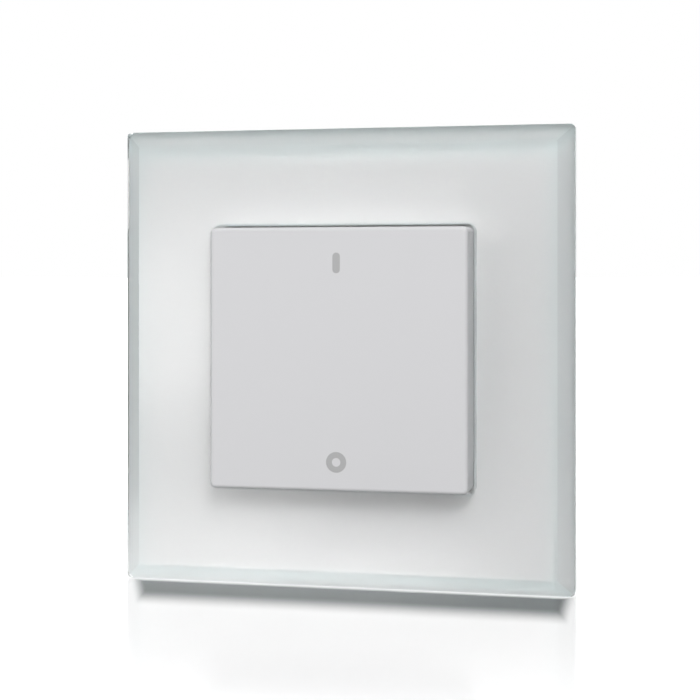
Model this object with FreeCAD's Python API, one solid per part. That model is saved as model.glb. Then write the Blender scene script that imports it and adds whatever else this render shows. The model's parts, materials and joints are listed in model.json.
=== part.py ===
import FreeCAD, Part
import math
import os

# Wall dimmer with a bevelled glass frame and one rocker, all sizes in millimetres.
# +X is right, +Z is up and the front faces -Y. The wall is the plane y = 0, and every depth below is
# measured out from the wall, so that a depth of 10 lies at y = -10.

# Glass frame
frame_width = 86.0
glass_thickness = 5.0
glass_bevel_width = 3.0
glass_bevel_depth = 1.8
glass_corner = 0.8
glass_bevel_corner = 0.5
glass_arris = 0.3
window_corner = 1.2
tape_thickness = 0.5
tape_inset = 1.5
tape_window_distance = 2.7

# Rocker
rocker_width = 48.6
rocker_gap = 0.5
rocker_proud = 4.8
rocker_wall = 1.8
rocker_skirt_wall = 1.5
rocker_corner = 1.0
rocker_edge_radius = 0.7
rocker_tilt_deg = 2.0
rocker_stop_play = 0.1
rocker_rib = 1.0
rocker_rib_height = 1.2
rocker_rib_spread = 6.0
rocker_cross_rib_from_edge = 7.5
boss_radius = 2.0
boss_tip_bevel = 1.0
boss_fin = 0.8
boss_fin_reach = 3.2
boss_fin_height = 2.0
boss_gap = 0.08

# Pivot pins of the rocker and snap-in ears of the module
pin_radius = 1.2
pin_clearance = 0.05
pin_end_gap = 0.2
pin_collar_radius = 1.9
pin_collar_gap = 0.3
ear_radius = 1.9
ear_thickness = 1.6
ear_edge_distance = 0.8
ear_foot = 3.4
ear_mouth = 2.1
ear_mouth_flare = 0.45
ear_clearance = 0.3

# Plastic carrier behind the glass
carrier_inset = 3.0
carrier_floor = 1.4
carrier_wall = 1.5
carrier_corner = 1.0
carrier_rib = 1.0
carrier_rib_near = 9.0
carrier_rib_far = 21.0
carrier_rib_gap = 0.4
carrier_rib_setback = 0.4
locating_wall = 1.2
locating_height = 2.0
pry_notch_width = 8.0
pry_notch_height = 1.2

# Mounting plate
plate_rim_gap = 1.0
plate_thickness = 1.6
plate_corner = 3.0
plate_ledge = 1.9
plate_window_corner = 4.0
collar_height = 2.5
collar_wall = 1.4
collar_gap = 0.3
box_spacing = 60.0
slot_radius = 2.1
slot_length = 6.0

# Module housing
flange_gap = 0.2
flange_thickness = 1.2
flange_corner = 1.0
module_side_gap = 0.2
module_wall = 1.2
module_rear_gap = 0.4
plateau_side_gap = 0.8
plateau_wall = 1.0
plateau_bevel = 0.8
switch_opening_gap = 0.7
snap_width = 5.0
snap_height = 0.8
snap_land = 0.4
snap_play = 0.1
snap_side_play = 0.3
snap_place = 14.0

# Rear cover, screws and circuit board
cover_gap = 0.2
cover_thickness = 1.4
screw_edge_distance = 2.6
screw_radius = 1.0
screw_head_radius = 1.9
screw_head_height = 1.2
screw_head_bevel = 0.4
screw_length = 5.6
screw_pilot_gap = 0.02
screw_pilot_extra = 0.4
screw_hole_gap = 0.1
board_hole_gap = 0.2
counterbore_gap = 0.2
boss_wall = 1.4
board_gap = 0.2
board_thickness = 1.0

# Coin cell and its contacts
cell_radius = 12.25
cell_thickness = 3.0
cell_edge = 0.35
cell_cap_step = 1.1
cell_cap_height = 0.3
cell_x = 5.0
cell_z = -5.0
cell_recess = 0.4
cell_gap = 0.2
pocket_wall = 1.0
cell_board_gap = 0.5
lip_reach = 0.9
lip_thickness = 0.35
lip_width = 3.0
lip_spread = 6.0
contact_width = 4.0
contact_side_gap = 1.0
finger_thickness = 0.3
finger_reach = 3.8
finger_foot = 3.4
arch_thickness = 0.15
arch_half_span = 3.5
arch_foot = 1.5
arch_gap = 0.02

# Tactile switches
tact_place = 9.0
tact_width = 6.0
tact_height = 2.5
tact_cover = 0.3
tact_cover_tab = 1.0
tact_floor = 0.5
tact_plunger_radius = 1.75
tact_plunger_proud = 0.7
tact_plunger_length = 2.2
tact_plunger_gap = 0.05
tact_cover_gap = 0.15
tact_top_gap = 0.2
tact_leg_width = 0.7
tact_leg_reach = 0.9
tact_leg_thickness = 0.2

# Flat centring springs
spring_place = 11.0
spring_width = 4.0
spring_thickness = 0.2
spring_foot = 3.0
spring_rib_gap = 1.3
spring_tip = 1.0
spring_gap = 0.05
stake_radius = 0.75
stake_height = 0.9
stake_gap = 0.2

# Learn button
learn_edge_distance = 7.1
learn_tact_width = 4.2
learn_tact_height = 1.3
learn_plunger_radius = 0.9
learn_plunger_proud = 0.3
learn_plunger_length = 0.9
learn_plunger_gap = 0.05
learn_button_radius = 1.8
learn_button_gap = 0.07
learn_button_recess = 0.1
learn_button_bevel = 0.3
learn_flange_radius = 2.6
learn_flange_thickness = 0.7
learn_pocket_depth = 1.05

# Small parts on the board
chip_size = (5.0, 5.0, 0.9)
chip_edge_distance = 8.6
chip_z = 5.0
crystal_size = (3.2, 2.5, 0.8)
crystal_z = -2.5
antenna_size = (7.0, 2.0, 1.2)
antenna_side_distance = 12.6
antenna_top_distance = 3.1
capacitor_size = (1.6, 0.8, 0.8)
capacitor_pitch = 3.0
capacitor_edge_distance = 9.6
led_size = (2.0, 1.25, 0.7)
led_learn_distance = 11.5
led_bevel = 0.15
chip_bevel = 0.1
led_hole = 1.8

# Depths worked out from the stack, from the wall to the front
plate_front = plate_thickness
collar_front = plate_front + collar_height
carrier_front = collar_front + carrier_floor
glass_rear = carrier_front + tape_thickness
glass_front = glass_rear + glass_thickness
rocker_front = glass_front + rocker_proud
rocker_inner = rocker_front - rocker_wall
flange_front = carrier_front + flange_thickness
module_rear = plate_front + module_rear_gap
cover_front = module_rear + cover_thickness
cell_rear = module_rear + cell_recess
cell_front = cell_rear + cell_thickness
board_rear = cell_front + cell_board_gap
board_front = board_rear + board_thickness
tact_front = board_front + tact_height
plunger_front = tact_front + tact_plunger_proud
plateau_rear = tact_front + tact_top_gap
plateau_front = plateau_rear + plateau_wall
pivot_depth = rocker_inner - ear_clearance - ear_radius
screw_end = cover_front + screw_length
tilt_drop = rocker_width / 2 * math.sin(math.radians(rocker_tilt_deg))
skirt_rear = flange_front + tilt_drop + rocker_stop_play

# Widths that follow from their neighbours
window_width = rocker_width + 2 * rocker_gap
flange_width = window_width - 2 * flange_gap
rocker_inner_width = rocker_width - 2 * rocker_skirt_wall
plateau_width = rocker_inner_width - 2 * plateau_side_gap
collar_outer = rocker_width
collar_inner = collar_outer - 2 * collar_wall
module_width = collar_inner - 2 * collar_gap
carrier_window = module_width + 2 * module_side_gap
carrier_width = frame_width - 2 * carrier_inset
plate_width = carrier_width - 2 * (carrier_wall + plate_rim_gap)
plate_window = collar_inner - 2 * plate_ledge
locating_inner = collar_outer + 2 * module_side_gap
locating_outer = locating_inner + 2 * locating_wall
module_inner = module_width - 2 * module_wall
plateau_inner = plateau_width - 2 * module_wall
board_width = plateau_inner - 2 * board_gap
cover_width = module_inner - 2 * cover_gap
ear_outer_x = plateau_width / 2 - ear_edge_distance
ear_inner_x = ear_outer_x - ear_thickness
pocket_radius = cell_radius + cell_gap
pocket_outer = pocket_radius + pocket_wall
screw_boss_radius = screw_radius + boss_wall

# Places that follow from the edges of the rocker and of the board
cross_rib_place = rocker_width / 2 - rocker_cross_rib_from_edge
spring_contact = cross_rib_place - rocker_rib / 2 - spring_rib_gap - spring_tip
screw_place = board_width / 2 - screw_edge_distance
learn_x = learn_edge_distance - board_width / 2
learn_z = learn_x
led_place = (learn_x, learn_z + led_learn_distance)
chip_place = (chip_edge_distance - board_width / 2, chip_z)
crystal_place = (chip_edge_distance - board_width / 2, crystal_z)
antenna_place = (board_width / 2 - antenna_side_distance, board_width / 2 - antenna_top_distance)
capacitor_x = board_width / 2 - capacitor_edge_distance

corner_signs = ((1, 1), (-1, 1), (-1, -1), (1, -1))
# Two screws on one diagonal hold the rear cover and the board.
screw_places = ((-screw_place, screw_place), (screw_place, -screw_place))


def point(x, depth, z):
    """Point at a depth measured out from the wall."""
    return FreeCAD.Vector(x, -depth, z)


def outline(width, height, corner, depth, x=0.0, z=0.0):
    """Closed outline of a rectangle parallel to the wall, with round corners unless their radius is zero."""
    if corner == 0:
        sharp = [point(x + side * width / 2, depth, z + up * height / 2) for side, up in corner_signs]
        return Part.makePolygon(sharp + sharp[:1])
    arcs = []
    for turn, (side, up) in enumerate(corner_signs):
        centre_x = x + side * (width / 2 - corner)
        centre_z = z + up * (height / 2 - corner)
        angles = [math.radians(90 * turn + step) for step in (0, 45, 90)]
        arcs.append([
            point(centre_x + corner * math.cos(angle), depth, centre_z + corner * math.sin(angle))
            for angle in angles
        ])
    edges = []
    for turn, arc in enumerate(arcs):
        edges.append(Part.Arc(*arc).toShape())
        edges.append(Part.LineSegment(arc[2], arcs[(turn + 1) % 4][0]).toShape())
    return Part.Wire(edges)


def slab(width, height, corner, near, far, x=0.0, z=0.0):
    """Rectangular plate between two depths."""
    face = Part.Face(outline(width, height, corner, near, x, z))
    return face.extrude(FreeCAD.Vector(0, near - far, 0))


def ring_slab(outer, inner, outer_corner, inner_corner, near, far):
    """Square ring between two depths."""
    return slab(outer, outer, outer_corner, near, far).cut(slab(inner, inner, inner_corner, near, far))


def block(x_low, x_high, near, far, z_low, z_high):
    """Box between two depths."""
    return Part.makeBox(x_high - x_low, far - near, z_high - z_low, point(x_low, far, z_low))


def post(radius, near, far, x=0.0, z=0.0):
    """Cylinder that points out from the wall."""
    return Part.makeCylinder(radius, far - near, point(x, near, z), FreeCAD.Vector(0, -1, 0))


def tube(outer, inner, near, far, x=0.0, z=0.0):
    """Hollow cylinder that points out from the wall."""
    return post(outer, near, far, x, z).cut(post(inner, near, far, x, z))


def prism_along_x(profile, x_low, x_high):
    """Profile of (depth, z) corners, drawn out along X."""
    corners = [point(x_low, depth, z) for depth, z in profile]
    face = Part.Face(Part.makePolygon(corners + corners[:1]))
    return face.extrude(FreeCAD.Vector(x_high - x_low, 0, 0))


def turned(shape, angle):
    """Copy of a shape, turned about the axis that points out from the middle of the wall plate."""
    copy = shape.copy()
    copy.rotate(FreeCAD.Vector(0, 0, 0), FreeCAD.Vector(0, -1, 0), angle)
    return copy


def on_four_sides(shape):
    return [turned(shape, angle) for angle in (0, 90, 180, 270)]


def joined(base, pieces):
    """Union of a base and pieces that touch it, with faces in one plane merged."""
    return base.multiFuse(pieces).removeSplitter()


def cut_all(base, tools):
    return base.cut(Part.makeCompound(tools))


def edges_in_plane(shape, depth, beyond=0.0):
    """Edges that lie flat at a depth and reach further than a distance from the middle."""
    tolerance = 1e-4
    found = []
    for edge in shape.Edges:
        box = edge.BoundBox
        flat = abs(box.YMin + depth) < tolerance and abs(box.YMax + depth) < tolerance
        reach = max(abs(box.XMin), abs(box.XMax), abs(box.ZMin), abs(box.ZMax))
        if flat and reach > beyond:
            found.append(edge)
    return found


def make_glass_panel():
    """Glass frame with a polished bevel round its front and a square window for the rocker."""
    bevel_rear = glass_front - glass_bevel_depth
    body = slab(frame_width, frame_width, glass_corner, glass_rear, bevel_rear)
    inner_width = frame_width - 2 * glass_bevel_width
    bevel = Part.makeLoft([
        outline(frame_width, frame_width, glass_corner, bevel_rear),
        outline(inner_width, inner_width, glass_bevel_corner, glass_front),
    ], True, True)
    panel = joined(body, [bevel])
    panel = panel.cut(slab(window_width, window_width, window_corner, glass_rear, glass_front))
    rear_edges = edges_in_plane(panel, glass_rear, frame_width / 2 - glass_corner)
    window_edges = [
        edge for edge in edges_in_plane(panel, glass_front)
        if max(abs(edge.BoundBox.XMax), abs(edge.BoundBox.ZMax), abs(edge.BoundBox.XMin)) < frame_width / 3
    ]
    return panel.makeChamfer(glass_arris, rear_edges + window_edges)


def make_glass_bond_tape():
    """Foam tape between the carrier and the glass, set back from the rim and from the window."""
    outer = carrier_width - 2 * tape_inset
    inner = window_width + 2 * tape_window_distance
    return ring_slab(outer, inner, 0, 0, carrier_front, glass_rear)


def carrier_side_rib(place):
    """Rib from the locating wall to the rim, stepped so that it clears the mounting plate."""
    inner = locating_outer / 2 - locating_wall / 2
    outer = carrier_width / 2 - carrier_wall / 2
    step = plate_width / 2 + carrier_rib_gap
    low = plate_front + carrier_rib_gap
    corners = [
        point(inner, collar_front, place),
        point(inner, low, place),
        point(step, low, place),
        point(outer, carrier_rib_setback, place),
        point(outer, collar_front, place),
    ]
    face = Part.Face(Part.makePolygon(corners + corners[:1]))
    rib = face.extrude(FreeCAD.Vector(0, 0, carrier_rib))
    rib.translate(FreeCAD.Vector(0, 0, -carrier_rib / 2))
    return rib


def make_frame_carrier():
    """Moulded frame that carries the glass, open at the rear, with a locating wall and stiffening ribs."""
    floor = slab(carrier_width, carrier_width, carrier_corner, collar_front, carrier_front)
    rim = ring_slab(
        carrier_width, carrier_width - 2 * carrier_wall, carrier_corner, 0, 0.0, collar_front
    )
    locating = ring_slab(
        locating_outer, locating_inner, 0, 0, collar_front - locating_height, collar_front
    )
    ribs = []
    for place in (-carrier_rib_far, -carrier_rib_near, carrier_rib_near, carrier_rib_far):
        ribs += on_four_sides(carrier_side_rib(place))
    carrier = joined(floor, [rim, locating] + ribs)
    window = slab(carrier_window, carrier_window, 0, 0.0, carrier_front)
    rim_low = -carrier_width / 2
    notch = block(
        -pry_notch_width / 2, pry_notch_width / 2, 0.0, pry_notch_height, rim_low, rim_low + carrier_wall
    )
    return cut_all(carrier, [window, notch]).removeSplitter()


def slot_cutter(x, z, along_x):
    """Round-ended slot through the mounting plate, along the line between its two screws."""
    straight = slot_length - 2 * slot_radius
    size = (straight, 2 * slot_radius) if along_x else (2 * slot_radius, straight)
    middle = block(
        x - size[0] / 2, x + size[0] / 2, 0.0, plate_front, z - size[1] / 2, z + size[1] / 2
    )
    ends = []
    for sign in (-1, 1):
        shift = sign * straight / 2
        end_x = x + shift if along_x else x
        end_z = z if along_x else z + shift
        ends.append(post(slot_radius, 0.0, plate_front, end_x, end_z))
    return joined(middle, ends)


def snap_window_cutter(side, z):
    """Opening in the collar that takes one snap nub of the module."""
    half = snap_width / 2 + snap_side_play
    near = plate_front
    far = module_rear + snap_height + snap_land + snap_play
    inner = side * (collar_inner / 2 - collar_gap)
    outer = side * (collar_outer / 2 + collar_gap)
    return block(min(inner, outer), max(inner, outer), near, far, z - half, z + half)


def make_mounting_plate():
    """Wall plate with slots for the wall box's screws and a collar that the module snaps into."""
    plate = slab(plate_width, plate_width, plate_corner, 0.0, plate_front)
    collar = ring_slab(collar_outer, collar_inner, 0, 0, plate_front, collar_front)
    body = joined(plate, [collar])
    half = box_spacing / 2
    cutters = [slab(plate_window, plate_window, plate_window_corner, 0.0, plate_front)]
    cutters += [slot_cutter(side * half, 0.0, True) for side in (-1, 1)]
    cutters += [slot_cutter(0.0, up * half, False) for up in (-1, 1)]
    cutters += [snap_window_cutter(side, up * snap_place) for side, up in corner_signs]
    return cut_all(body, cutters)


def snap_nub(side, z):
    """Wedge on the module's side that springs into a window of the collar."""
    wall = side * module_width / 2
    root = side * (module_width / 2 - module_wall / 2)
    tip = wall + side * snap_height
    land = module_rear + snap_height
    corners = [
        point(root, module_rear, z),
        point(wall, module_rear, z),
        point(tip, land, z),
        point(tip, land + snap_land, z),
        point(root, land + snap_land, z),
    ]
    face = Part.Face(Part.makePolygon(corners + corners[:1]))
    nub = face.extrude(FreeCAD.Vector(0, 0, snap_width))
    nub.translate(FreeCAD.Vector(0, 0, -snap_width / 2))
    return nub


def bearing_ear(side):
    """Ear on the plateau with its round head about the pivot axis."""
    x_low = min(side * ear_inner_x, side * ear_outer_x)
    head = Part.makeCylinder(
        ear_radius, ear_thickness, point(x_low, pivot_depth, 0.0), FreeCAD.Vector(1, 0, 0)
    )
    foot = prism_along_x([
        (plateau_front - plateau_wall / 2, -ear_foot),
        (plateau_front - plateau_wall / 2, ear_foot),
        (plateau_front, ear_foot),
        (pivot_depth, ear_radius),
        (pivot_depth, -ear_radius),
        (plateau_front, -ear_foot),
    ], x_low, x_low + ear_thickness)
    return joined(foot, [head])


def bearing_cutters(side):
    """Pin bore and flared snap mouth, which opens to the front."""
    bore_radius = pin_radius + pin_clearance
    low_x = ear_inner_x - pin_end_gap
    high_x = plateau_width / 2
    x_low = min(side * low_x, side * high_x)
    length = high_x - low_x
    bore = Part.makeCylinder(
        bore_radius, length, point(x_low, pivot_depth, 0.0), FreeCAD.Vector(1, 0, 0)
    )
    top = pivot_depth + ear_radius
    neck = top - ear_mouth_flare
    half = ear_mouth / 2
    mouth = prism_along_x([
        (pivot_depth, -half),
        (neck, -half),
        (top, -half - ear_mouth_flare),
        (top, half + ear_mouth_flare),
        (neck, half),
        (pivot_depth, half),
    ], x_low, x_low + length)
    return [bore, mouth]


def make_module_housing():
    """Moulded body: snap-in skirt, flange, and the plateau that carries the rocker's bearings."""
    skirt = slab(module_width, module_width, 0, module_rear, carrier_front)
    flange = slab(flange_width, flange_width, flange_corner, carrier_front, flange_front)
    plateau = slab(plateau_width, plateau_width, 0, flange_front, plateau_front)
    plateau = plateau.makeChamfer(plateau_bevel, edges_in_plane(plateau, plateau_front))
    nubs = [snap_nub(side, up * snap_place) for side, up in corner_signs]
    body = joined(skirt, [flange, plateau] + nubs)
    hollows = [
        slab(module_inner, module_inner, 0, module_rear, carrier_front),
        slab(plateau_inner, plateau_inner, 0, carrier_front, plateau_rear),
    ]
    body = cut_all(body, hollows)
    bosses = [post(screw_boss_radius, board_front, plateau_front - plateau_wall / 2, x, z)
              for x, z in screw_places]
    ears = [bearing_ear(side) for side in (-1, 1)]
    stakes = [
        post(stake_radius, plateau_front, plateau_front + stake_height, side * spring_place) for side in (-1, 1)
    ]
    body = joined(body, bosses + ears + stakes)
    cutters = []
    for x, z in screw_places:
        cutters.append(post(screw_radius + screw_pilot_gap, board_front, screw_end + screw_pilot_extra, x, z))
    opening = 2 * (boss_radius + switch_opening_gap)
    for up in (-1, 1):
        cutters.append(slab(opening, opening, 0, plateau_rear, plateau_front, 0.0, up * tact_place))
    for side in (-1, 1):
        cutters += bearing_cutters(side)
    return cut_all(body, cutters)


def make_rear_cover():
    """Rear lid with the cell pocket, the screw bosses, the learn-button guide and a hole for the lamp."""
    lid = slab(cover_width, cover_width, 0, module_rear, cover_front)
    pocket = post(pocket_outer, module_rear, board_rear, cell_x, cell_z)
    bosses = [post(screw_boss_radius, module_rear, board_rear, x, z) for x, z in screw_places]
    body = joined(lid, [pocket] + bosses)
    cutters = [post(pocket_radius, module_rear, board_rear, cell_x, cell_z)]
    for x, z in screw_places:
        cutters.append(post(screw_radius + screw_hole_gap, module_rear, board_rear, x, z))
        cutters.append(post(screw_head_radius + counterbore_gap, module_rear, cover_front, x, z))
    cutters.append(post(learn_button_radius + learn_button_gap, module_rear, cover_front, learn_x, learn_z))
    cutters.append(slab(led_hole, led_hole, 0, module_rear, cover_front, *led_place))
    notch_half = contact_width / 2 + contact_side_gap
    cutters.append(block(
        cell_x - notch_half, cell_x + notch_half, module_rear, board_rear,
        cell_z + cell_radius - contact_side_gap, cell_z + pocket_outer + contact_side_gap,
    ))
    body = cut_all(body, cutters)
    lip_ring = tube(
        pocket_radius + pocket_wall / 2, cell_radius - lip_reach,
        module_rear, module_rear + lip_thickness, cell_x, cell_z,
    )
    lips = []
    for side in (-1, 1):
        middle = cell_x + side * lip_spread
        lips.append(lip_ring.common(block(
            middle - lip_width / 2, middle + lip_width / 2, module_rear, module_rear + lip_thickness,
            cell_z - pocket_outer, cell_z,
        )))
    return joined(body, lips)


def make_rear_cover_screws():
    """Pan-head screws through the cover and the board into the housing's bosses."""
    screws = []
    head_rear = cover_front - screw_head_height
    for x, z in screw_places:
        head = post(screw_head_radius, head_rear, cover_front, x, z)
        head = head.makeChamfer(screw_head_bevel, edges_in_plane(head, head_rear))
        screws.append(joined(head, [post(screw_radius, cover_front, screw_end, x, z)]))
    return Part.makeCompound(screws)


def make_circuit_board():
    board = slab(board_width, board_width, 0, board_rear, board_front)
    holes = [post(screw_radius + board_hole_gap, board_rear, board_front, x, z) for x, z in screw_places]
    return cut_all(board, holes)


def make_tact_body(z):
    """Moulded base of a tactile switch with its well for the plunger and four legs on the board."""
    top = tact_front - tact_cover
    base = slab(tact_width, tact_width, 0, board_front, top, 0.0, z)
    legs = []
    reach = tact_width / 2 + tact_leg_reach
    for up in (-1, 1):
        leg_z = z + up * (tact_width / 2 - 1.5 * tact_leg_width)
        legs.append(block(
            -reach, reach, board_front, board_front + tact_leg_thickness,
            leg_z - tact_leg_width / 2, leg_z + tact_leg_width / 2,
        ))
    well = post(
        tact_plunger_radius + tact_plunger_gap, board_front + tact_floor, top, 0.0, z
    )
    return joined(base, legs).cut(well)


def make_tact_cover(z):
    """Sheet-metal lid of a tactile switch, folded down at both sides."""
    half = tact_width / 2
    near = tact_front - tact_cover
    lid = slab(tact_width + 2 * tact_cover, tact_width, 0, near, tact_front, 0.0, z)
    tabs = []
    for side in (-1, 1):
        edge = side * half
        out = side * (half + tact_cover)
        tabs.append(block(
            min(edge, out), max(edge, out), near - tact_cover_tab, near + tact_cover / 2,
            z - half / 2, z + half / 2,
        ))
    hole = post(tact_plunger_radius + tact_cover_gap, near, tact_front, 0.0, z)
    return joined(lid, tabs).cut(hole)


def make_tact_plunger(z):
    return post(tact_plunger_radius, plunger_front - tact_plunger_length, plunger_front, 0.0, z)


def spring_side(offset):
    """Points of one face of a centring spring, as (depth, z), from its lower tip to its upper tip."""
    low = plateau_front + offset
    high = rocker_inner - spring_gap - spring_thickness + offset
    bend = high - spring_tip / 4
    upper = [(low, spring_foot), (bend, spring_contact - spring_tip),
             (high, spring_contact), (bend, spring_contact + spring_tip)]
    return [(depth, -z) for depth, z in reversed(upper)] + upper


def make_centring_spring(x):
    """Flat spring: its middle is staked to the plateau and its two tips press on the rocker."""
    edges = []
    sides = (spring_side(0.0), spring_side(spring_thickness))
    for side in sides:
        points = [point(x - spring_width / 2, depth, z) for depth, z in side]
        edges.append(Part.Arc(*points[:3]).toShape())
        edges += [Part.LineSegment(points[i], points[i + 1]).toShape() for i in (2, 3, 4)]
        edges.append(Part.Arc(*points[5:]).toShape())
    for end in (0, -1):
        tips = [point(x - spring_width / 2, *side[end]) for side in sides]
        edges.append(Part.LineSegment(*tips).toShape())
    profile = Part.Wire(Part.__sortEdges__(edges))
    strip = Part.Face(profile).extrude(FreeCAD.Vector(spring_width, 0, 0))
    hole = post(stake_radius + stake_gap, plateau_front, plateau_front + spring_thickness, x)
    return strip.cut(hole)


def make_learn_tact_body():
    top = board_rear - learn_tact_height
    base = slab(learn_tact_width, learn_tact_width, 0, top, board_rear, learn_x, learn_z)
    well = post(
        learn_plunger_radius + learn_plunger_gap, top, top + learn_pocket_depth, learn_x, learn_z
    )
    return base.cut(well)


def learn_plunger_rear():
    return board_rear - learn_tact_height - learn_plunger_proud


def make_learn_tact_plunger():
    rear = learn_plunger_rear()
    return post(learn_plunger_radius, rear, rear + learn_plunger_length, learn_x, learn_z)


def make_learn_button():
    """Flanged button that sits in the rear cover's guide and rests on the plunger of its switch."""
    rear = module_rear + learn_button_recess
    front = learn_plunger_rear()
    stem = post(learn_button_radius, rear, front, learn_x, learn_z)
    stem = stem.makeChamfer(learn_button_bevel, edges_in_plane(stem, rear))
    flange = post(learn_flange_radius, front - learn_flange_thickness, front, learn_x, learn_z)
    return joined(stem, [flange])


def make_coin_cell():
    """Flat cell: can with a broken rim towards the rear and a smaller cap towards the board."""
    step = cell_front - cell_cap_height
    cap_radius = cell_radius - cell_cap_step
    profile = [
        (0, cell_rear), (cell_radius - cell_edge, cell_rear), (cell_radius, cell_rear + cell_edge),
        (cell_radius, step), (cap_radius, step), (cap_radius, cell_front), (0, cell_front), (0, cell_rear),
    ]
    face = Part.Face(Part.makePolygon([point(cell_x + radius, depth, cell_z) for radius, depth in profile]))
    return face.revolve(point(cell_x, 0, cell_z), FreeCAD.Vector(0, 1, 0), 360)


def make_battery_contact_negative():
    """Arched strip on the board that presses on the cap of the cell."""
    z = cell_z - contact_width / 2
    foot_end = arch_half_span + arch_foot
    peak = cell_front + arch_gap

    def side(base, top):
        points = [point(cell_x + x, depth, z) for x, depth in (
            (-foot_end, base), (-arch_half_span, base), (0.0, top), (arch_half_span, base), (foot_end, base))]
        return [
            Part.LineSegment(points[0], points[1]).toShape(),
            Part.Arc(points[1], points[2], points[3]).toShape(),
            Part.LineSegment(points[3], points[4]).toShape(),
        ]

    edges = side(board_rear, peak + arch_thickness)
    edges += side(board_rear - arch_thickness, peak)
    for x in (-foot_end, foot_end):
        edges.append(Part.LineSegment(
            point(cell_x + x, board_rear, z), point(cell_x + x, board_rear - arch_thickness, z)
        ).toShape())
    face = Part.Face(Part.Wire(Part.__sortEdges__(edges)))
    return face.extrude(FreeCAD.Vector(0, 0, contact_width))


def make_battery_contact_positive():
    """Strip that stands on the board beside the cell and folds over the can's rear face."""
    rise = cell_z + pocket_radius + finger_thickness
    rear = cell_rear - finger_thickness
    profile = [
        (board_rear, rise + finger_foot),
        (board_rear - finger_thickness, rise + finger_foot),
        (board_rear - finger_thickness, rise + finger_thickness),
        (rear, rise + finger_thickness),
        (rear, rise - finger_reach),
        (cell_rear, rise - finger_reach),
        (cell_rear, rise),
        (board_rear, rise),
    ]
    return prism_along_x(profile, cell_x - contact_width / 2, cell_x + contact_width / 2)


def board_part(size, place):
    """Small part on the front of the board, with its upper edges broken."""
    width, height, thickness = size
    body = slab(width, height, 0, board_front, board_front + thickness, *place)
    return body.makeChamfer(chip_bevel, edges_in_plane(body, board_front + thickness))


def make_chip_capacitors():
    """Grid of chip capacitors on the front of the board."""
    return Part.makeCompound([
        board_part(capacitor_size, (capacitor_x + column * capacitor_pitch, row * capacitor_pitch))
        for column in (-1, 0, 1) for row in (-1, 0, 1)
    ])


def make_status_led():
    """Lamp on the rear of the board, behind the hole in the rear cover."""
    width, height, thickness = led_size
    top = board_rear - thickness
    body = slab(width, height, 0, top, board_rear, *led_place)
    return body.makeChamfer(led_bevel, edges_in_plane(body, top))


def rocker_pin(side):
    """Pivot pin on a collar of the rocker's side wall."""
    wall = rocker_inner_width / 2 + rocker_skirt_wall / 2
    collar_end = plateau_width / 2 + pin_collar_gap
    pin_end = ear_inner_x
    direction = FreeCAD.Vector(-side, 0, 0)
    collar = Part.makeCylinder(
        pin_collar_radius, wall - collar_end, point(side * wall, pivot_depth, 0.0), direction
    )
    pin = Part.makeCylinder(
        pin_radius, wall - pin_end, point(side * wall, pivot_depth, 0.0), direction
    )
    return joined(collar, [pin])


def press_boss(z):
    """Finned boss under the rocker with a bevelled tip over a switch plunger."""
    tip = plunger_front + boss_gap
    root = rocker_inner + rocker_wall / 2
    boss = post(boss_radius, tip, root, 0.0, z)
    boss = boss.makeChamfer(boss_tip_bevel, edges_in_plane(boss, tip))
    fin_near = rocker_inner - boss_fin_height
    fins = [
        block(-boss_fin_reach, boss_fin_reach, fin_near, root, z - boss_fin / 2, z + boss_fin / 2),
        block(-boss_fin / 2, boss_fin / 2, fin_near, root, z - boss_fin_reach, z + boss_fin_reach),
    ]
    return joined(boss, fins)


def make_rocker():
    """Rocker cap: a shallow tray with rounded front edges, pivot pins, press bosses and ribs."""
    cap = slab(rocker_width, rocker_width, rocker_corner, skirt_rear, rocker_front)
    cap = cap.makeFillet(rocker_edge_radius, edges_in_plane(cap, rocker_front))
    cap = cap.cut(slab(rocker_inner_width, rocker_inner_width, 0, skirt_rear, rocker_inner))
    half = rocker_inner_width / 2 + rocker_skirt_wall / 2
    rib_near = rocker_inner - rocker_rib_height
    root = rocker_inner + rocker_wall / 2
    ribs = []
    for sign in (-1, 1):
        x = sign * rocker_rib_spread
        z = sign * cross_rib_place
        ribs.append(block(x - rocker_rib / 2, x + rocker_rib / 2, rib_near, root, -half, half))
        ribs.append(block(-half, half, rib_near, root, z - rocker_rib / 2, z + rocker_rib / 2))
    pins = [rocker_pin(side) for side in (-1, 1)]
    bosses = [press_boss(up * tact_place) for up in (-1, 1)]
    return joined(cap, ribs + pins + bosses)


nodes = {
    "glass_panel": make_glass_panel(),
    "glass_bond_tape": make_glass_bond_tape(),
    "frame_carrier": make_frame_carrier(),
    "mounting_plate": make_mounting_plate(),
    "module_housing": make_module_housing(),
    "rear_cover": make_rear_cover(),
    "rear_cover_screws": make_rear_cover_screws(),
    "circuit_board": make_circuit_board(),
    "upper_tact_body": make_tact_body(tact_place),
    "upper_tact_cover": make_tact_cover(tact_place),
    "upper_tact_plunger": make_tact_plunger(tact_place),
    "lower_tact_body": make_tact_body(-tact_place),
    "lower_tact_cover": make_tact_cover(-tact_place),
    "lower_tact_plunger": make_tact_plunger(-tact_place),
    "centring_spring_left": make_centring_spring(-spring_place),
    "centring_spring_right": make_centring_spring(spring_place),
    "learn_tact_body": make_learn_tact_body(),
    "learn_tact_plunger": make_learn_tact_plunger(),
    "learn_button": make_learn_button(),
    "coin_cell": make_coin_cell(),
    "battery_contact_negative": make_battery_contact_negative(),
    "battery_contact_positive": make_battery_contact_positive(),
    "radio_chip": board_part(chip_size, chip_place),
    "crystal": board_part(crystal_size, crystal_place),
    "chip_antenna": board_part(antenna_size, antenna_place),
    "chip_capacitors": make_chip_capacitors(),
    "status_led": make_status_led(),
    "rocker": make_rocker(),
}

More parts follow.
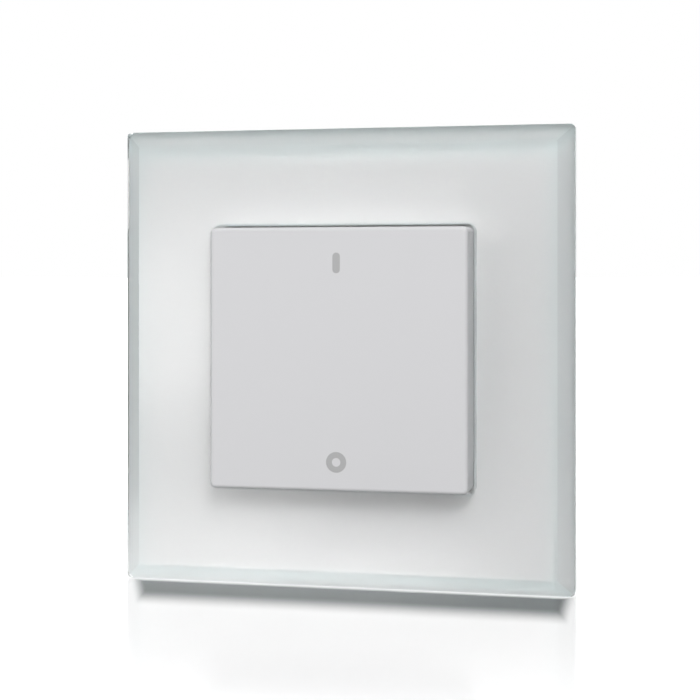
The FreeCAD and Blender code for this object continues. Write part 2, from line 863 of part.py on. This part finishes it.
os.makedirs("parts", exist_ok=True)
for name, shape in nodes.items():
    shape.exportStep("parts/" + name + ".step")
    print(name, len(shape.Solids), "solid(s),", round(shape.Volume, 2), "mm3, valid", shape.isValid())
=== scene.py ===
import json
import math

import bmesh
import bpy
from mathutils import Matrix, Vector


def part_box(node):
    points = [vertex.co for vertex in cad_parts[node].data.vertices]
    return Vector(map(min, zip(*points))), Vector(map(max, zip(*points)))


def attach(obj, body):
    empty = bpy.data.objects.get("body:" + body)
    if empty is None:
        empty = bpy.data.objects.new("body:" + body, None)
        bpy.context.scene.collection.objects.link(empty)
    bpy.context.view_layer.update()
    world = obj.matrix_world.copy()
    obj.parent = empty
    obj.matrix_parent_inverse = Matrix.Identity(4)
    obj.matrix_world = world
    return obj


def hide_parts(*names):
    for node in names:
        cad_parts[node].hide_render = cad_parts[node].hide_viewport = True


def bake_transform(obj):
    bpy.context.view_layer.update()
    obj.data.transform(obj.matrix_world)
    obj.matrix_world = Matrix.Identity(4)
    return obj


# A wall dimmer with a bevelled glass frame and one rocker, standing on a pale glossy floor.
# Metres, +X right, +Z up, the front faces -Y and the wall plane is y = 0.

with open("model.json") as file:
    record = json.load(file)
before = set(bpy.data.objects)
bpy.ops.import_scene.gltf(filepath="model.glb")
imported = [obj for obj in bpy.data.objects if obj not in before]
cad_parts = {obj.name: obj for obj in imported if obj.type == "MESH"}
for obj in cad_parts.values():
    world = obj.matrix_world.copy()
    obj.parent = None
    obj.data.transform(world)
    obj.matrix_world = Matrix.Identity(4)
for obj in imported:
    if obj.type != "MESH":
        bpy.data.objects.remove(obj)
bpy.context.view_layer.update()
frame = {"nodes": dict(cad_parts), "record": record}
nodes = frame["nodes"]
mm = 0.001

# Camera: its place, its turn to the left, and in pixels its focal length and the row of the horizon
image_size = 700
camera_place = (65.5 * mm, -296.0 * mm, 15.3 * mm)
camera_yaw_deg = 12.65
focal_pixels = 1568.0
horizon_row = 276.0
camera_sensor = 36.0
camera_near = 10 * mm

# Marks on the rocker and the cell. Those on the rocker lie so far from its nearer edge.
mark_film = 0.02 * mm
mark_bar_inset = 6.6 * mm
mark_bar_height = 3.8 * mm
mark_bar_width = 1.4 * mm
mark_ring_inset = 5.4 * mm
mark_ring_radius = 1.9 * mm
mark_ring_width = 1.1 * mm
plus_length = 5.0 * mm
plus_width = 1.0 * mm
plus_height = 5.5 * mm

# Cross recess in the cover screws
recess_depth = 0.8 * mm
recess_length = 2.3 * mm
recess_width = 0.55 * mm

# How near points are welded
weld_distance = 0.001 * mm

# How far the faces of the tape lie inside it
tape_set_back = 0.02 * mm

# Surfaces: slow clouds and waves to the metre, and the sizes of grain
plastic_clouds = 40.0
lacquer_clouds = 25.0
glass_waves = 60.0
floor_clouds = 3.0
plastic_grain = 0.25 * mm
metal_grain = 0.4 * mm
foam_cell = 0.3 * mm
ink_grain = 0.12 * mm

# How far roughness varies either way, and the share of a tone that its darker spots keep
plastic_sheen = 0.06
metal_sheen = 0.08
line_share = 0.85
lacquer_share = 0.985

# Glass: its index, the faint green in its thickness, and how rough and wavy its faces are
glass_index = 1.52
glass_green = (0.87, 0.925, 0.925)
glass_absorption = 4.0
polished_depth = 0.0005 * mm
ground_depth = 0.002 * mm
bevel_roughness = 0.03
ground_roughness = 0.35

# Faces of the panel: how far their normals turn to the rear or the front, and how near a plane they lie
rear_turn = 0.9
bevel_turn_least = 0.3
bevel_turn_most = 0.95
rear_play = 0.01 * mm
rim_play = 0.1 * mm

# Light: what comes evenly from all around, a key lamp on the camera's side, a weak one on the left
# and one behind the object
around_strength = 0.36
around_through_glass = 1.0
key_place = (0.42, -1.18, 0.66)
key_width = 0.30
key_height = 0.40
key_power = 14.8
side_place = (-0.72, -1.03, 0.50)
side_width = 0.20
side_height = 0.30
side_power = 2.3
rear_place = (-0.45, 1.15, 0.60)
rear_width = 0.50
rear_height = 0.50
rear_power = 8.0

# Bright card on the left that polished faces mirror, as slopes to the side and upwards from straight ahead
card_strength = 6.5
card_right = -0.10
card_full = -0.24
card_left = -0.9
card_end = -1.4
card_top = -0.03
card_top_end = 0.09

# Painted reflection: the card as the floor would mirror it on to the panel, fainter near the panel
card_near = 0.12
card_shift = 0.005
card_fade_start = 0.04
card_fade_end = 0.70
card_fade_share = 0.25
least_ahead = 0.001

# Floor: its surface, how it goes white with distance, and a painted glow in it that lights the lower edge of
# the glass, seen through the glass only
floor_reach = 40.0
floor_dark = (0.088, 0.088, 0.09)
floor_light = (0.094, 0.094, 0.096)
floor_roughness = 0.12
floor_index = 1.4
glow_near = 0.65
glow_start = 0.045
glow_reach = 0.15
glow_through_glass = 2.8
glow_through_glass_far = 0.25
glow_through_glass_start = -2.0 * mm
glow_through_glass_reach = 6.0 * mm
glow_through_glass_left = 0.55
glow_through_glass_right = 0.15

# Painted shadow: a dark line on the floor along the foot of the frame
foot_shade_start = 9.0 * mm
foot_shade_end = 22.5 * mm
foot_shade_rear = 1.5 * mm
foot_shade_left = 4.0 * mm
foot_shade_right = 2.5 * mm
foot_shade_blur = 3.0 * mm
foot_shade_left_slope = 0.42
foot_shade_right_slope = 0.02

glass_low, glass_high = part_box("glass_panel")
rocker_low, rocker_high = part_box("rocker")
floor_z = glass_low.z


def new_material(name):
    """Empty node material with its node tree, its principled shader and its output."""
    material = bpy.data.materials.new(name)
    material.use_nodes = True
    tree = material.node_tree
    tree.nodes.clear()
    output = tree.nodes.new("ShaderNodeOutputMaterial")
    shader = tree.nodes.new("ShaderNodeBsdfPrincipled")
    tree.links.new(shader.outputs["BSDF"], output.inputs["Surface"])
    return material, tree, shader, output


def noise(tree, scale, detail=2.0, roughness=0.5, stretch=(1, 1, 1)):
    """Noise in the object's own coordinates, stretched along its axes."""
    place = tree.nodes.new("ShaderNodeTexCoord")
    mapping = tree.nodes.new("ShaderNodeMapping")
    mapping.inputs["Scale"].default_value = stretch
    texture = tree.nodes.new("ShaderNodeTexNoise")
    texture.inputs["Scale"].default_value = scale
    texture.inputs["Detail"].default_value = detail
    texture.inputs["Roughness"].default_value = roughness
    tree.links.new(place.outputs["Object"], mapping.inputs["Vector"])
    tree.links.new(mapping.outputs["Vector"], texture.inputs["Vector"])
    return texture.outputs["Fac"]


def spread(tree, value, low, high):
    """Value from 0 to 1 mapped to a range."""
    ramp = tree.nodes.new("ShaderNodeMapRange")
    ramp.inputs["To Min"].default_value = low
    ramp.inputs["To Max"].default_value = high
    tree.links.new(value, ramp.inputs["Value"])
    return ramp.outputs["Result"]


def tinted(tree, value, dark, light):
    """Colour between two tones."""
    mix = tree.nodes.new("ShaderNodeMix")
    mix.data_type = "RGBA"
    mix.inputs["A"].default_value = (*dark, 1)
    mix.inputs["B"].default_value = (*light, 1)
    tree.links.new(value, mix.inputs["Factor"])
    return mix.outputs["Result"]


def bumped(tree, shader, height, distance, strength=1.0):
    """Raises a surface where a height is large."""
    bump = tree.nodes.new("ShaderNodeBump")
    bump.inputs["Strength"].default_value = strength
    bump.inputs["Distance"].default_value = distance
    tree.links.new(height, bump.inputs["Height"])
    tree.links.new(bump.outputs["Normal"], shader.inputs["Normal"])


def shaded(colour, share):
    """Darker tone of a colour."""
    return tuple(channel * share for channel in colour)


def plastic(name, colour, roughness, grain=plastic_grain, depth=0.004 * mm, mottle=0.03):
    """Moulded plastic: a fine spark texture, a slow change of tone and an uneven sheen."""
    material, tree, shader, _ = new_material(name)
    slow = noise(tree, plastic_clouds, detail=3.0)
    fine = noise(tree, 1 / grain, detail=4.0, roughness=0.6)
    tone = tinted(tree, slow, shaded(colour, 1 - mottle), colour)
    sheen = spread(tree, fine, roughness - plastic_sheen, roughness + plastic_sheen)
    tree.links.new(tone, shader.inputs["Base Color"])
    tree.links.new(sheen, shader.inputs["Roughness"])
    bumped(tree, shader, fine, depth)
    return material


def metal(name, colour, roughness, stretch=(1, 1, 12)):
    """Drawn or rolled metal with fine lines along one axis."""
    material, tree, shader, _ = new_material(name)
    lines = noise(tree, 1 / metal_grain, detail=3.0, roughness=0.6, stretch=stretch)
    tone = tinted(tree, lines, shaded(colour, line_share), colour)
    sheen = spread(tree, lines, roughness - metal_sheen, roughness + metal_sheen)
    tree.links.new(tone, shader.inputs["Base Color"])
    tree.links.new(sheen, shader.inputs["Roughness"])
    shader.inputs["Metallic"].default_value = 1.0
    bumped(tree, shader, lines, 0.002 * mm)
    return material


def glass(name, tone, roughness, depth):
    """Clear float glass with a faint green in its thickness and a surface that isn't quite flat."""
    material, tree, shader, output = new_material(name)
    shader.inputs["Base Color"].default_value = (*tone, 1)
    shader.inputs["Transmission Weight"].default_value = 1.0
    shader.inputs["IOR"].default_value = glass_index
    waves = noise(tree, glass_waves)
    tree.links.new(spread(tree, waves, roughness, roughness + 0.01), shader.inputs["Roughness"])
    bumped(tree, shader, waves, depth)
    absorption = tree.nodes.new("ShaderNodeVolumeAbsorption")
    absorption.inputs["Color"].default_value = (*glass_green, 1)
    absorption.inputs["Density"].default_value = glass_absorption
    tree.links.new(absorption.outputs["Volume"], output.inputs["Volume"])
    return material


def lacquer(name, colour):
    """White coat on the rear of the glass, seen through it."""
    material, tree, shader, _ = new_material(name)
    cloud = noise(tree, lacquer_clouds, detail=3.0)
    tree.links.new(tinted(tree, cloud, shaded(colour, lacquer_share), colour), shader.inputs["Base Color"])
    shader.inputs["Roughness"].default_value = 0.6
    return material


def laminate(name):
    """Solder mask over copper: tracks show as a slightly lighter green."""
    material, tree, shader, _ = new_material(name)
    place = tree.nodes.new("ShaderNodeTexCoord")
    tracks = tree.nodes.new("ShaderNodeTexBrick")
    tracks.inputs["Scale"].default_value = 260.0
    tracks.inputs["Color1"].default_value = (0.012, 0.10, 0.045, 1)
    tracks.inputs["Color2"].default_value = (0.016, 0.13, 0.06, 1)
    tracks.inputs["Mortar"].default_value = (0.03, 0.22, 0.11, 1)
    tracks.inputs["Mortar Size"].default_value = 0.05
    turn = tree.nodes.new("ShaderNodeMapping")
    turn.inputs["Rotation"].default_value = (math.pi / 2, 0, 0)
    tree.links.new(place.outputs["Object"], turn.inputs["Vector"])
    tree.links.new(turn.outputs["Vector"], tracks.inputs["Vector"])
    tree.links.new(tracks.outputs["Color"], shader.inputs["Base Color"])
    shader.inputs["Roughness"].default_value = 0.35
    bumped(tree, shader, tracks.outputs["Fac"], 0.02 * mm, 0.5)
    return material


def foam(name):
    """Closed-cell foam tape."""
    material, tree, shader, _ = new_material(name)
    place = tree.nodes.new("ShaderNodeTexCoord")
    cells = tree.nodes.new("ShaderNodeTexVoronoi")
    cells.inputs["Scale"].default_value = 1 / foam_cell
    tree.links.new(place.outputs["Object"], cells.inputs["Vector"])
    tone = tinted(tree, cells.outputs["Distance"], (0.8, 0.8, 0.79), (0.6, 0.6, 0.59))
    tree.links.new(tone, shader.inputs["Base Color"])
    shader.inputs["Roughness"].default_value = 0.85
    bumped(tree, shader, cells.outputs["Distance"], 0.05 * mm)
    return material


def print_ink(name, colour):
    """Pad-printed ink with slightly uneven cover."""
    material, tree, shader, _ = new_material(name)
    cover = noise(tree, 1 / ink_grain, detail=3.0)
    tree.links.new(tinted(tree, cover, shaded(colour, line_share), colour), shader.inputs["Base Color"])
    tree.links.new(spread(tree, cover, 0.4, 0.55), shader.inputs["Roughness"])
    return material


# Material of every slot: its tone, its roughness and, where it differs, its grain or the run of its lines
finishes = {
    "panel_glass": glass("clear_glass", (1.0, 1.0, 1.0), 0.0, polished_depth),
    "foam_tape": foam("foam_tape"),
    "carrier_plastic": plastic("carrier_plastic", (0.72, 0.72, 0.72), 0.5),
    "plate_plastic": plastic("plate_plastic", (0.6, 0.61, 0.62), 0.55),
    "module_plastic": plastic("module_plastic", (0.7, 0.7, 0.7), 0.5),
    "rocker_plastic": plastic("rocker_plastic", (0.612, 0.612, 0.625), 0.42, 0.2 * mm, 0.002 * mm, 0.01),
    "button_plastic": plastic("button_plastic", (0.09, 0.095, 0.1), 0.5),
    "screw_steel": metal("screw_steel", (0.62, 0.62, 0.6), 0.32),
    "spring_steel": metal("spring_steel", (0.6, 0.6, 0.57), 0.3),
    "contact_metal": metal("contact_metal", (0.66, 0.65, 0.6), 0.28, (12, 1, 1)),
    "cell_steel": metal("cell_steel", (0.58, 0.58, 0.58), 0.4, (1, 1, 10)),
    "switch_steel": metal("switch_steel", (0.62, 0.62, 0.62), 0.3),
    "crystal_steel": metal("crystal_steel", (0.7, 0.66, 0.55), 0.25),
    "board_laminate": laminate("board_laminate"),
    "switch_plastic": plastic("switch_plastic", (0.02, 0.02, 0.02), 0.5),
    "plunger_plastic": plastic("plunger_plastic", (0.03, 0.03, 0.03), 0.4),
    "chip_plastic": plastic("chip_plastic", (0.015, 0.015, 0.016), 0.6),
    "chip_ceramic": plastic("chip_ceramic", (0.72, 0.73, 0.7), 0.4),
    "capacitor_ceramic": plastic("capacitor_ceramic", (0.3, 0.19, 0.1), 0.45),
    "lamp_plastic": plastic("lamp_plastic", (0.75, 0.7, 0.5), 0.2),
}
slot_of = {row["node"]: row["material_slot"] for row in frame["record"]["subparts"]}


def finish_nodes():
    """Every node takes the material of its slot."""
    for name, node in nodes.items():
        node.data.materials.clear()
        node.data.materials.append(finishes[slot_of[name]])


def finish_glass():
    """White lacquer on the rear of the panel, polished bevels with painted shade on those at the left and
    right, and ground side edges.
    """
    panel = nodes["glass_panel"]
    coats = {
        "rear": lacquer("white_lacquer", (0.93, 0.93, 0.93)),
        "bevel": glass("bevel_glass", (0.97, 0.975, 0.975), bevel_roughness, polished_depth),
        "rim": glass("ground_glass", (0.92, 0.925, 0.925), ground_roughness, ground_depth),
        # Painted shade: the bevels at the left and right take a greyer tone than those at the top and bottom
        "shaded_side_bevel": glass("side_bevel_glass", (0.82, 0.805, 0.807), bevel_roughness, polished_depth),
    }
    index = {}
    for place, coat in coats.items():
        index[place] = len(panel.data.materials)
        panel.data.materials.append(coat)
    for face in panel.data.polygons:
        middle = face.center
        normal = face.normal
        if normal.y > rear_turn and abs(middle.y - glass_high.y) < rear_play:
            face.material_index = index["rear"]
        elif bevel_turn_least < -normal.y < bevel_turn_most:
            # Bevels facing left or right get the painted shade
            face.material_index = index["shaded_side_bevel" if abs(normal.x) > abs(normal.z) else "bevel"]
        elif middle.x < glass_low.x + rim_play or middle.x > glass_high.x - rim_play:
            face.material_index = index["rim"]


def set_back_tape():
    """The tape's faces lie a hair inside it, so that they don't coincide with the lacquer."""
    shrink = nodes["glass_bond_tape"].modifiers.new("set_back", "DISPLACE")
    shrink.strength = -tape_set_back
    shrink.mid_level = 0.0


def mesh_from(name, source):
    """Mesh from a bmesh, which isn't needed any more."""
    mesh = bpy.data.meshes.new(name)
    source.to_mesh(mesh)
    source.free()
    return mesh


def linked(name, data):
    """Object in the scene that holds a mesh, a lamp or a camera."""
    thing = bpy.data.objects.new(name, data)
    bpy.context.scene.collection.objects.link(thing)
    return thing


def mesh_piece(name, source, material, body):
    """Object from a bmesh, riding on a body."""
    piece = linked(name, mesh_from(name, source))
    piece.data.materials.append(material)
    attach(piece, body)
    return piece


def film(outline_points, hole_points, centre, front):
    """Thin flat film in front of a face, with an optional hole, from outlines in its own plane."""
    bm = bmesh.new()
    count = len(outline_points)
    layers = []
    for depth in (front, front - mark_film):
        ring = [bm.verts.new((centre[0] + x, depth, centre[1] + z)) for x, z in outline_points]
        hole = [bm.verts.new((centre[0] + x, depth, centre[1] + z)) for x, z in hole_points]
        layers.append((ring, hole))
    (rear_ring, rear_hole), (front_ring, front_hole) = layers
    for i in range(count):
        j = (i + 1) % count
        bm.faces.new((rear_ring[i], rear_ring[j], front_ring[j], front_ring[i]))
        if hole_points:
            bm.faces.new((front_hole[i], front_hole[j], rear_hole[j], rear_hole[i]))
            bm.faces.new((front_ring[i], front_ring[j], front_hole[j], front_hole[i]))
            bm.faces.new((rear_hole[i], rear_hole[j], rear_ring[j], rear_ring[i]))
    if not hole_points:
        bm.faces.new(front_ring)
        bm.faces.new(rear_ring)
    bmesh.ops.recalc_face_normals(bm, faces=bm.faces)
    return bm


def circle(radius, count=64):
    """Points round a circle."""
    return [
        (radius * math.cos(2 * math.pi * i / count), radius * math.sin(2 * math.pi * i / count))
        for i in range(count)
    ]


def round_bar(width, height, steps=12):
    """Points round an upright bar with round ends."""
    radius = width / 2
    points = []
    for end, start in ((1, 0.0), (-1, math.pi)):
        middle = end * (height / 2 - radius)
        for i in range(steps + 1):
            angle = start + math.pi * i / steps
            points.append((radius * math.cos(angle), middle + radius * math.sin(angle)))
    return points


def add_marks():
    """Grey bar near the top of the rocker and grey ring near its bottom."""
    ink = print_ink("mark_ink", (0.415, 0.415, 0.42))
    front = rocker_low.y
    bar_place = (0, rocker_high.z - mark_bar_inset)
    ring_place = (0, rocker_low.z + mark_ring_inset)
    bar = film(round_bar(mark_bar_width, mark_bar_height), [], bar_place, front)
    ring = film(circle(mark_ring_radius), circle(mark_ring_radius - mark_ring_width), ring_place, front)
    mesh_piece("mark_on", bar, ink, "rocker")
    mesh_piece("mark_off", ring, ink, "rocker")


def add_cross(bm, centre, length, width, rear, front):
    """Closed upright cross between two depths."""
    long, short = length / 2, width / 2
    outline = [
        (short, short), (long, short), (long, -short), (short, -short), (short, -long), (-short, -long),
        (-short, -short), (-long, -short), (-long, short), (-short, short), (-short, long), (short, long),
    ]
    rings = [
        [bm.verts.new((centre[0] + x, depth, centre[1] + z)) for x, z in outline]
        for depth in (rear, front)
    ]
    bm.faces.new(rings[0])
    bm.faces.new(rings[1])
    for i in range(len(outline)):
        j = (i + 1) % len(outline)
        bm.faces.new((rings[0][i], rings[0][j], rings[1][j], rings[1][i]))


def heads(points):
    """Middle of each of the two screws on their diagonal, from the points of their mesh."""
    upper = [point for point in points if point.z > 0]
    lower = [point for point in points if point.z < 0]
    return [
        ((min(p.x for p in group) + max(p.x for p in group)) / 2,
         (min(p.z for p in group) + max(p.z for p in group)) / 2)
        for group in (upper, lower)
    ]


def add_recessed_screws():
    """The two cover screws, with a cross recess cut into each head."""
    source = nodes["rear_cover_screws"]
    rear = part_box("rear_cover_screws")[1].y
    crosses = bmesh.new()
    for place in heads([vertex.co for vertex in source.data.vertices]):
        add_cross(crosses, place, recess_length, recess_width, rear + recess_depth, rear - recess_depth)
    bmesh.ops.recalc_face_normals(crosses, faces=crosses.faces)
    cutter = linked("recess_cutter", mesh_from("recess_cutter", crosses))
    whole = linked("whole_screws", source.data.copy())
    cut = whole.modifiers.new("recess", "BOOLEAN")
    cut.operation = "DIFFERENCE"
    cut.solver = "EXACT"
    cut.object = cutter
    bpy.context.view_layer.update()
    result = bpy.data.meshes.new_from_object(whole.evaluated_get(bpy.context.evaluated_depsgraph_get()))
    bpy.data.objects.remove(whole)
    bpy.data.objects.remove(cutter)
    piece = linked("recessed_screws", result)
    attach(piece, "frame")
    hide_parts("rear_cover_screws")


def half_of(mesh, up):
    """Part of a mesh above or below its middle height, closed where it is cut."""
    bm = bmesh.new()
    bm.from_mesh(mesh)
    bmesh.ops.remove_doubles(bm, verts=bm.verts, dist=weld_distance)
    cut = bmesh.ops.bisect_plane(
        bm, geom=bm.verts[:] + bm.edges[:] + bm.faces[:],
        plane_co=(0, 0, 0), plane_no=(0, 0, up), clear_inner=True,
    )
    rim = [part for part in cut["geom_cut"] if isinstance(part, bmesh.types.BMEdge)]
    bmesh.ops.edgenet_fill(bm, edges=rim)
    bmesh.ops.recalc_face_normals(bm, faces=bm.faces)
    return bm


def add_bending_springs():
    """Both centring springs, each cut into an upper and a lower half."""
    for name in ("centring_spring_left", "centring_spring_right"):
        for half, up in (("upper", 1), ("lower", -1)):
            half_name = "%s_%s" % (name, half)
            piece = linked(half_name, mesh_from(half_name, half_of(nodes[name].data, up)))
            piece.data.materials.append(finishes["spring_steel"])
            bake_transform(piece)
            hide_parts(name)


def add_plus():
    """Plus on the rear of the cell, above its middle."""
    low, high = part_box("coin_cell")
    bm = bmesh.new()
    place = ((low.x + high.x) / 2, (low.z + high.z) / 2 + plus_height)
    add_cross(bm, place, plus_length, plus_width, high.y, high.y + mark_film)
    bmesh.ops.recalc_face_normals(bm, faces=bm.faces)
    stamp = metal("stamped_mark", (0.30, 0.30, 0.30), 0.5, (1, 1, 10))
    mesh_piece("cell_plus", bm, stamp, "frame")


def feed(tree, socket, value):
    """Gives a socket a plain number or another node's output."""
    if isinstance(value, (int, float)):
        socket.default_value = value
    else:
        tree.links.new(value, socket)


def smooth_step(tree, value, start, end, low=0.0, high=1.0):
    """Value that goes smoothly from low to high between two points."""
    step = tree.nodes.new("ShaderNodeMapRange")
    step.interpolation_type = "SMOOTHSTEP"
    step.inputs["From Min"].default_value = start
    step.inputs["From Max"].default_value = end
    step.inputs["To Min"].default_value = low
    step.inputs["To Max"].default_value = high
    feed(tree, step.inputs["Value"], value)
    return step.outputs["Result"]


def combined(tree, operation, *values):
    """Values joined two by two with one operation."""
    result = values[0]
    for value in values[1:]:
        node = tree.nodes.new("ShaderNodeMath")
        node.operation = operation
        feed(tree, node.inputs[0], result)
        feed(tree, node.inputs[1], value)
        result = node.outputs["Value"]
    return result


def separated(tree, vector):
    """X, Y and Z of a vector, by name."""
    split = tree.nodes.new("ShaderNodeSeparateXYZ")
    tree.links.new(vector, split.inputs["Vector"])
    return split.outputs


def emission(tree, strength):
    """White light of a given strength."""
    light = tree.nodes.new("ShaderNodeEmission")
    tree.links.new(strength, light.inputs["Strength"])
    return light.outputs["Emission"]


def rays(tree, kind):
    """1 for rays of one kind: Camera, Glossy or Transmission."""
    return tree.nodes.new("ShaderNodeLightPath").outputs["Is %s Ray" % kind]


def mirrored_rays(tree):
    """1 for rays from a mirroring face. Rays through glass count as glossy too, so they are taken out."""
    return combined(tree, "SUBTRACT", rays(tree, "Glossy"), rays(tree, "Transmission"))


def card(tree, side, up, share=1.0):
    """White, with the bright card on the left, from the slopes of a direction to the side and upwards."""
    rise = smooth_step(tree, side, card_right, card_full)
    fall = smooth_step(tree, side, card_end, card_left)
    top = smooth_step(tree, up, card_top_end, card_top)
    height = combined(tree, "MULTIPLY", rise, fall, top, card_strength - 1.0, share)
    return combined(tree, "ADD", height, 1.0)


def foot_shade(tree, place):
    """0 in the painted shadow along the foot of the frame, 1 elsewhere."""
    parts = separated(tree, place)
    forward = combined(tree, "SUBTRACT", glass_low.y, parts["Y"])
    ahead = smooth_step(tree, forward, foot_shade_start, foot_shade_end)
    behind = smooth_step(tree, forward, foot_shade_rear, foot_shade_rear - foot_shade_blur)
    ends = []
    for end, outward, slope in (
        (glass_low.x + foot_shade_left, -1, foot_shade_left_slope),
        (glass_high.x - foot_shade_right, 1, foot_shade_right_slope),
    ):
        leaning = combined(tree, "SUBTRACT", parts["X"], combined(tree, "MULTIPLY", forward, slope))
        ends.append(smooth_step(tree, leaning, end, end + outward * foot_shade_blur))
    return combined(tree, "MAXIMUM", ahead, behind, *ends)


def floor_to_camera(tree, place):
    """Strength of the floor's own light where the camera sees it: white far off, none in the painted shadow at
    the foot.
    """
    distance = tree.nodes.new("ShaderNodeVectorMath")
    distance.operation = "LENGTH"
    tree.links.new(place, distance.inputs[0])
    far = smooth_step(tree, distance.outputs["Value"], glow_start, glow_reach, glow_near, 1.0)
    return combined(tree, "MULTIPLY", far, foot_shade(tree, place), rays(tree, "Camera"))


def floor_to_object(tree, place):
    """Strength of the floor's painted light where the object mirrors it, with a painted reflection of the
    card, and a painted glow below the panel where it shows through glass.
    """
    parts = separated(tree, place)
    forward = combined(tree, "SUBTRACT", glass_low.y, parts["Y"])
    ahead = combined(tree, "MAXIMUM", combined(tree, "ADD", forward, card_near), card_near)
    side = combined(tree, "DIVIDE", combined(tree, "SUBTRACT", parts["X"], card_shift), ahead)
    fade = smooth_step(tree, forward, card_fade_start, card_fade_end, card_fade_share, 1.0)
    # Painted reflection of the card in the floor, shown to mirrored rays only
    mirrored = combined(tree, "MULTIPLY", card(tree, side, 0.0, fade), mirrored_rays(tree))
    # Painted light: a bright glow on the floor just below the panel, seen only through the glass, dimmer
    # towards both ends and most towards the right
    through = smooth_step(tree, forward, glow_through_glass_start, glow_through_glass_reach,
                          glow_through_glass, glow_through_glass_far)
    for end, share in ((glass_low.x, glow_through_glass_left), (glass_high.x, glow_through_glass_right)):
        to_end = smooth_step(tree, parts["X"], 0.0, end, 1.0, share)
        through = combined(tree, "MULTIPLY", through, to_end)
    return combined(tree, "ADD", mirrored, combined(tree, "MULTIPLY", through, rays(tree, "Transmission")))


def add_floor():
    """Pale glossy floor that keeps the object's shadow and its reflection, and goes white further away. A
    painted shadow lies along the foot of the frame, and mirrors and glass see painted light in the floor.
    """
    bm = bmesh.new()
    corners = ((-1, -1), (1, -1), (1, 1), (-1, 1))
    bm.faces.new([bm.verts.new((x * floor_reach, y * floor_reach, floor_z)) for x, y in corners])
    floor = linked("floor", mesh_from("floor", bm))
    material, tree, shader, output = new_material("floor_gloss")
    cloud = noise(tree, floor_clouds)
    tree.links.new(tinted(tree, cloud, floor_dark, floor_light), shader.inputs["Base Color"])
    shader.inputs["Roughness"].default_value = floor_roughness
    shader.inputs["IOR"].default_value = floor_index
    place = tree.nodes.new("ShaderNodeTexCoord").outputs["Object"]
    seen = tree.nodes.new("ShaderNodeAddShader")
    tree.links.new(shader.outputs["BSDF"], seen.inputs[0])
    tree.links.new(emission(tree, floor_to_camera(tree, place)), seen.inputs[1])
    # Mirrors and glass see only the floor's painted light, not its surface
    either = tree.nodes.new("ShaderNodeMixShader")
    tree.links.new(rays(tree, "Glossy"), either.inputs["Fac"])
    tree.links.new(seen.outputs["Shader"], either.inputs[1])
    tree.links.new(emission(tree, floor_to_object(tree, place)), either.inputs[2])
    tree.links.new(either.outputs["Shader"], output.inputs["Surface"])
    floor.data.materials.append(material)


def add_world():
    """Even pale surroundings, plain white where the camera sees them, with the card that gloss mirrors."""
    world = bpy.data.worlds.new("surroundings")
    bpy.context.scene.world = world
    world.use_nodes = True
    tree = world.node_tree
    tree.nodes.clear()
    output = tree.nodes.new("ShaderNodeOutputWorld")
    sky = tree.nodes.new("ShaderNodeBackground")
    parts = separated(tree, tree.nodes.new("ShaderNodeTexCoord").outputs["Generated"])
    ahead = combined(tree, "MAXIMUM", combined(tree, "MULTIPLY", parts["Y"], -1.0), least_ahead)
    side = combined(tree, "DIVIDE", parts["X"], ahead)
    up = combined(tree, "DIVIDE", parts["Z"], ahead)
    mirrored = combined(tree, "MULTIPLY", card(tree, side, up), mirrored_rays(tree))
    through = combined(tree, "MULTIPLY", rays(tree, "Transmission"), around_through_glass)
    strength = combined(tree, "MAXIMUM", rays(tree, "Camera"), around_strength, mirrored, through)
    tree.links.new(strength, sky.inputs["Strength"])
    sky.inputs["Color"].default_value = (1, 1, 1, 1)
    tree.links.new(sky.outputs["Background"], output.inputs["Surface"])


def add_lamp(name, place, width, height, power):
    """Soft white lamp that faces the middle of the object's wall plane."""
    data = bpy.data.lights.new(name, "AREA")
    data.shape = "RECTANGLE"
    data.size = width
    data.size_y = height
    data.energy = power
    lamp = linked(name, data)
    lamp.location = place
    lamp.rotation_euler = (-Vector(place)).to_track_quat("-Z", "Y").to_euler()


def add_camera():
    """Camera at the photograph's place. It looks level, so uprights stay upright, and its frame is shifted."""
    data = bpy.data.cameras.new("camera")
    data.sensor_width = camera_sensor
    data.lens = focal_pixels / image_size * camera_sensor
    data.shift_y = (horizon_row - image_size / 2) / image_size
    data.clip_start = camera_near
    camera = linked("camera", data)
    camera.location = camera_place
    camera.rotation_euler = (math.radians(90), 0, math.radians(camera_yaw_deg))
    bpy.context.scene.camera = camera


finish_nodes()
finish_glass()
set_back_tape()
add_marks()
add_recessed_screws()
add_bending_springs()
add_plus()
add_floor()
add_world()
add_lamp("key", key_place, key_width, key_height, key_power)
add_lamp("side", side_place, side_width, side_height, side_power)
add_lamp("rear", rear_place, rear_width, rear_height, rear_power)
add_camera()
bpy.context.scene.view_settings.view_transform = "Standard"
